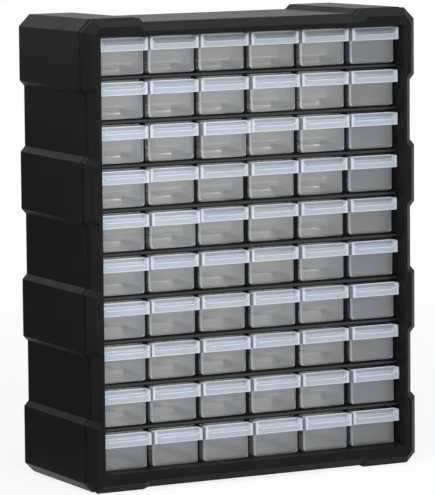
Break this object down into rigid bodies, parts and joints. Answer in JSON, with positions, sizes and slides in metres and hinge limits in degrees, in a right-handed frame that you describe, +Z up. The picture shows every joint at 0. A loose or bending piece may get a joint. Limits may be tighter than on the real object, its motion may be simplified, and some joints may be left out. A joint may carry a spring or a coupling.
{
  "type": "parts bin cabinet",
  "caption": "Open-fronted plastic case with stepped bumpers and a lattice rack inside, filled with rows of small see-through drawers that slide out by scooped pulls.",
  "frame": {"origin": "middle of the footprint, on the surface that the cabinet stands on", "axes": "+X across the front, to the right of a person who faces the drawers; +Y from the front to the back; +Z up"},
  "size_m": [0.38, 0.16, 0.475],
  "materials": {
    "case": "satin black moulded plastic",
    "rack": "satin black moulded plastic",
    "drawer": "see-through plastic, faintly milky"
  },
  "bodies": {
    "cabinet": {"case_shell": "case", "front_rack": "rack", "rear_rack": "rack"},
    "drawer_r1_c1": {"drawer_r1_c1": "drawer"},
    "drawer_r1_c2": {"drawer_r1_c2": "drawer"},
    "drawer_r1_c3": {"drawer_r1_c3": "drawer"},
    "drawer_r1_c4": {"drawer_r1_c4": "drawer"},
    "drawer_r1_c5": {"drawer_r1_c5": "drawer"},
    "drawer_r1_c6": {"drawer_r1_c6": "drawer"},
    "drawer_r2_c1": {"drawer_r2_c1": "drawer"},
    "drawer_r2_c2": {"drawer_r2_c2": "drawer"},
    "drawer_r2_c3": {"drawer_r2_c3": "drawer"},
    "drawer_r2_c4": {"drawer_r2_c4": "drawer"},
    "drawer_r2_c5": {"drawer_r2_c5": "drawer"},
    "drawer_r2_c6": {"drawer_r2_c6": "drawer"},
    "drawer_r3_c1": {"drawer_r3_c1": "drawer"},
    "drawer_r3_c2": {"drawer_r3_c2": "drawer"},
    "drawer_r3_c3": {"drawer_r3_c3": "drawer"},
    "drawer_r3_c4": {"drawer_r3_c4": "drawer"},
    "drawer_r3_c5": {"drawer_r3_c5": "drawer"},
    "drawer_r3_c6": {"drawer_r3_c6": "drawer"},
    "drawer_r4_c1": {"drawer_r4_c1": "drawer"},
    "drawer_r4_c2": {"drawer_r4_c2": "drawer"},
    "drawer_r4_c3": {"drawer_r4_c3": "drawer"},
    "drawer_r4_c4": {"drawer_r4_c4": "drawer"},
    "drawer_r4_c5": {"drawer_r4_c5": "drawer"},
    "drawer_r4_c6": {"drawer_r4_c6": "drawer"},
    "drawer_r5_c1": {"drawer_r5_c1": "drawer"},
    "drawer_r5_c2": {"drawer_r5_c2": "drawer"},
    "drawer_r5_c3": {"drawer_r5_c3": "drawer"},
    "drawer_r5_c4": {"drawer_r5_c4": "drawer"},
    "drawer_r5_c5": {"drawer_r5_c5": "drawer"},
    "drawer_r5_c6": {"drawer_r5_c6": "drawer"},
    "drawer_r6_c1": {"drawer_r6_c1": "drawer"},
    "drawer_r6_c2": {"drawer_r6_c2": "drawer"},
    "drawer_r6_c3": {"drawer_r6_c3": "drawer"},
    "drawer_r6_c4": {"drawer_r6_c4": "drawer"},
    "drawer_r6_c5": {"drawer_r6_c5": "drawer"},
    "drawer_r6_c6": {"drawer_r6_c6": "drawer"},
    "drawer_r7_c1": {"drawer_r7_c1": "drawer"},
    "drawer_r7_c2": {"drawer_r7_c2": "drawer"},
    "drawer_r7_c3": {"drawer_r7_c3": "drawer"},
    "drawer_r7_c4": {"drawer_r7_c4": "drawer"},
    "drawer_r7_c5": {"drawer_r7_c5": "drawer"},
    "drawer_r7_c6": {"drawer_r7_c6": "drawer"},
    "drawer_r8_c1": {"drawer_r8_c1": "drawer"},
    "drawer_r8_c2": {"drawer_r8_c2": "drawer"},
    "drawer_r8_c3": {"drawer_r8_c3": "drawer"},
    "drawer_r8_c4": {"drawer_r8_c4": "drawer"},
    "drawer_r8_c5": {"drawer_r8_c5": "drawer"},
    "drawer_r8_c6": {"drawer_r8_c6": "drawer"},
    "drawer_r9_c1": {"drawer_r9_c1": "drawer"},
    "drawer_r9_c2": {"drawer_r9_c2": "drawer"},
    "drawer_r9_c3": {"drawer_r9_c3": "drawer"},
    "drawer_r9_c4": {"drawer_r9_c4": "drawer"},
    "drawer_r9_c5": {"drawer_r9_c5": "drawer"},
    "drawer_r9_c6": {"drawer_r9_c6": "drawer"},
    "drawers_r10_c1_c2": {"drawers_r10_c1_c2": "drawer"},
    "drawers_r10_c3_c4": {"drawers_r10_c3_c4": "drawer"},
    "drawers_r10_c5_c6": {"drawers_r10_c5_c6": "drawer"}
  },
  "joints": [
    {"name": "drawer_r1_c1_slide", "type": "slide", "parent": "cabinet", "child": "drawer_r1_c1", "axis": [0, -1, 0], "range_m": [-0.007, 0.103]},
    {"name": "drawer_r1_c2_slide", "type": "slide", "parent": "cabinet", "child": "drawer_r1_c2", "axis": [0, -1, 0], "range_m": [-0.005, 0.105]},
    {"name": "drawer_r1_c3_slide", "type": "slide", "parent": "cabinet", "child": "drawer_r1_c3", "axis": [0, -1, 0], "range_m": [-0.003, 0.107]},
    {"name": "drawer_r1_c4_slide", "type": "slide", "parent": "cabinet", "child": "drawer_r1_c4", "axis": [0, -1, 0], "range_m": [-0.003, 0.107]},
    {"name": "drawer_r1_c5_slide", "type": "slide", "parent": "cabinet", "child": "drawer_r1_c5", "axis": [0, -1, 0], "range_m": [-0.004, 0.106]},
    {"name": "drawer_r1_c6_slide", "type": "slide", "parent": "cabinet", "child": "drawer_r1_c6", "axis": [0, -1, 0], "range_m": [-0.0055, 0.1045]},
    {"name": "drawer_r2_c1_slide", "type": "slide", "parent": "cabinet", "child": "drawer_r2_c1", "axis": [0, -1, 0], "range_m": [-0.005, 0.105]},
    {"name": "drawer_r2_c2_slide", "type": "slide", "parent": "cabinet", "child": "drawer_r2_c2", "axis": [0, -1, 0], "range_m": [-0.004, 0.106]},
    {"name": "drawer_r2_c3_slide", "type": "slide", "parent": "cabinet", "child": "drawer_r2_c3", "axis": [0, -1, 0], "range_m": [-0.003, 0.107]},
    {"name": "drawer_r2_c4_slide", "type": "slide", "parent": "cabinet", "child": "drawer_r2_c4", "axis": [0, -1, 0], "range_m": [-0.005, 0.105]},
    {"name": "drawer_r2_c5_slide", "type": "slide", "parent": "cabinet", "child": "drawer_r2_c5", "axis": [0, -1, 0], "range_m": [-0.0035, 0.1065]},
    {"name": "drawer_r2_c6_slide", "type": "slide", "parent": "cabinet", "child": "drawer_r2_c6", "axis": [0, -1, 0], "range_m": [-0.0035, 0.1065]},
    {"name": "drawer_r3_c1_slide", "type": "slide", "parent": "cabinet", "child": "drawer_r3_c1", "axis": [0, -1, 0], "range_m": [-0.0055, 0.1045]},
    {"name": "drawer_r3_c2_slide", "type": "slide", "parent": "cabinet", "child": "drawer_r3_c2", "axis": [0, -1, 0], "range_m": [-0.003, 0.107]},
    {"name": "drawer_r3_c3_slide", "type": "slide", "parent": "cabinet", "child": "drawer_r3_c3", "axis": [0, -1, 0], "range_m": [-0.007, 0.103]},
    {"name": "drawer_r3_c4_slide", "type": "slide", "parent": "cabinet", "child": "drawer_r3_c4", "axis": [0, -1, 0], "range_m": [-0.002, 0.108]},
    {"name": "drawer_r3_c5_slide", "type": "slide", "parent": "cabinet", "child": "drawer_r3_c5", "axis": [0, -1, 0], "range_m": [-0.0045, 0.1055]},
    {"name": "drawer_r3_c6_slide", "type": "slide", "parent": "cabinet", "child": "drawer_r3_c6", "axis": [0, -1, 0], "range_m": [-0.003, 0.107]},
    {"name": "drawer_r4_c1_slide", "type": "slide", "parent": "cabinet", "child": "drawer_r4_c1", "axis": [0, -1, 0], "range_m": [-0.007, 0.103]},
    {"name": "drawer_r4_c2_slide", "type": "slide", "parent": "cabinet", "child": "drawer_r4_c2", "axis": [0, -1, 0], "range_m": [-0.0025, 0.1075]},
    {"name": "drawer_r4_c3_slide", "type": "slide", "parent": "cabinet", "child": "drawer_r4_c3", "axis": [0, -1, 0], "range_m": [0, 0.11]},
    {"name": "drawer_r4_c4_slide", "type": "slide", "parent": "cabinet", "child": "drawer_r4_c4", "axis": [0, -1, 0], "range_m": [-0.001, 0.109]},
    {"name": "drawer_r4_c5_slide", "type": "slide", "parent": "cabinet", "child": "drawer_r4_c5", "axis": [0, -1, 0], "range_m": [0, 0.11]},
    {"name": "drawer_r4_c6_slide", "type": "slide", "parent": "cabinet", "child": "drawer_r4_c6", "axis": [0, -1, 0], "range_m": [-0.0015, 0.1085]},
    {"name": "drawer_r5_c1_slide", "type": "slide", "parent": "cabinet", "child": "drawer_r5_c1", "axis": [0, -1, 0], "range_m": [-0.0055, 0.1045]},
    {"name": "drawer_r5_c2_slide", "type": "slide", "parent": "cabinet", "child": "drawer_r5_c2", "axis": [0, -1, 0], "range_m": [-0.005, 0.105]},
    {"name": "drawer_r5_c3_slide", "type": "slide", "parent": "cabinet", "child": "drawer_r5_c3", "axis": [0, -1, 0], "range_m": [0, 0.11]},
    {"name": "drawer_r5_c4_slide", "type": "slide", "parent": "cabinet", "child": "drawer_r5_c4", "axis": [0, -1, 0], "range_m": [0, 0.11]},
    {"name": "drawer_r5_c5_slide", "type": "slide", "parent": "cabinet", "child": "drawer_r5_c5", "axis": [0, -1, 0], "range_m": [-0.0005, 0.1095]},
    {"name": "drawer_r5_c6_slide", "type": "slide", "parent": "cabinet", "child": "drawer_r5_c6", "axis": [0, -1, 0], "range_m": [-0.001, 0.109]},
    {"name": "drawer_r6_c1_slide", "type": "slide", "parent": "cabinet", "child": "drawer_r6_c1", "axis": [0, -1, 0], "range_m": [-0.0045, 0.1055]},
    {"name": "drawer_r6_c2_slide", "type": "slide", "parent": "cabinet", "child": "drawer_r6_c2", "axis": [0, -1, 0], "range_m": [-0.001, 0.109]},
    {"name": "drawer_r6_c3_slide", "type": "slide", "parent": "cabinet", "child": "drawer_r6_c3", "axis": [0, -1, 0], "range_m": [-0.0015, 0.1085]},
    {"name": "drawer_r6_c4_slide", "type": "slide", "parent": "cabinet", "child": "drawer_r6_c4", "axis": [0, -1, 0], "range_m": [0, 0.11]},
    {"name": "drawer_r6_c5_slide", "type": "slide", "parent": "cabinet", "child": "drawer_r6_c5", "axis": [0, -1, 0], "range_m": [-0.0015, 0.1085]},
    {"name": "drawer_r6_c6_slide", "type": "slide", "parent": "cabinet", "child": "drawer_r6_c6", "axis": [0, -1, 0], "range_m": [-0.0025, 0.1075]},
    {"name": "drawer_r7_c1_slide", "type": "slide", "parent": "cabinet", "child": "drawer_r7_c1", "axis": [0, -1, 0], "range_m": [-0.0045, 0.1055]},
    {"name": "drawer_r7_c2_slide", "type": "slide", "parent": "cabinet", "child": "drawer_r7_c2", "axis": [0, -1, 0], "range_m": [-0.002, 0.108]},
    {"name": "drawer_r7_c3_slide", "type": "slide", "parent": "cabinet", "child": "drawer_r7_c3", "axis": [0, -1, 0], "range_m": [-0.001, 0.109]},
    {"name": "drawer_r7_c4_slide", "type": "slide", "parent": "cabinet", "child": "drawer_r7_c4", "axis": [0, -1, 0], "range_m": [-0.0025, 0.1075]},
    {"name": "drawer_r7_c5_slide", "type": "slide", "parent": "cabinet", "child": "drawer_r7_c5", "axis": [0, -1, 0], "range_m": [-0.001, 0.109]},
    {"name": "drawer_r7_c6_slide", "type": "slide", "parent": "cabinet", "child": "drawer_r7_c6", "axis": [0, -1, 0], "range_m": [-0.0045, 0.1055]},
    {"name": "drawer_r8_c1_slide", "type": "slide", "parent": "cabinet", "child": "drawer_r8_c1", "axis": [0, -1, 0], "range_m": [-0.0045, 0.1055]},
    {"name": "drawer_r8_c2_slide", "type": "slide", "parent": "cabinet", "child": "drawer_r8_c2", "axis": [0, -1, 0], "range_m": [-0.0015, 0.1085]},
    {"name": "drawer_r8_c3_slide", "type": "slide", "parent": "cabinet", "child": "drawer_r8_c3", "axis": [0, -1, 0], "range_m": [-0.0025, 0.1075]},
    {"name": "drawer_r8_c4_slide", "type": "slide", "parent": "cabinet", "child": "drawer_r8_c4", "axis": [0, -1, 0], "range_m": [-0.0015, 0.1085]},
    {"name": "drawer_r8_c5_slide", "type": "slide", "parent": "cabinet", "child": "drawer_r8_c5", "axis": [0, -1, 0], "range_m": [-0.0015, 0.1085]},
    {"name": "drawer_r8_c6_slide", "type": "slide", "parent": "cabinet", "child": "drawer_r8_c6", "axis": [0, -1, 0], "range_m": [-0.003, 0.107]},
    {"name": "drawer_r9_c1_slide", "type": "slide", "parent": "cabinet", "child": "drawer_r9_c1", "axis": [0, -1, 0], "range_m": [-0.0045, 0.1055]},
    {"name": "drawer_r9_c2_slide", "type": "slide", "parent": "cabinet", "child": "drawer_r9_c2", "axis": [0, -1, 0], "range_m": [-0.0025, 0.1075]},
    {"name": "drawer_r9_c3_slide", "type": "slide", "parent": "cabinet", "child": "drawer_r9_c3", "axis": [0, -1, 0], "range_m": [-0.0015, 0.1085]},
    {"name": "drawer_r9_c4_slide", "type": "slide", "parent": "cabinet", "child": "drawer_r9_c4", "axis": [0, -1, 0], "range_m": [-0.0025, 0.1075]},
    {"name": "drawer_r9_c5_slide", "type": "slide", "parent": "cabinet", "child": "drawer_r9_c5", "axis": [0, -1, 0], "range_m": [-0.0015, 0.1085]},
    {"name": "drawer_r9_c6_slide", "type": "slide", "parent": "cabinet", "child": "drawer_r9_c6", "axis": [0, -1, 0], "range_m": [-0.0045, 0.1055]},
    {"name": "drawers_r10_c1_c2_slide", "type": "slide", "parent": "cabinet", "child": "drawers_r10_c1_c2", "axis": [0, -1, 0], "range_m": [-0.0055, 0.1045]},
    {"name": "drawers_r10_c3_c4_slide", "type": "slide", "parent": "cabinet", "child": "drawers_r10_c3_c4", "axis": [0, -1, 0], "range_m": [-0.006, 0.104]},
    {"name": "drawers_r10_c5_c6_slide", "type": "slide", "parent": "cabinet", "child": "drawers_r10_c5_c6", "axis": [0, -1, 0], "range_m": [-0.004, 0.106]}
  ]
}
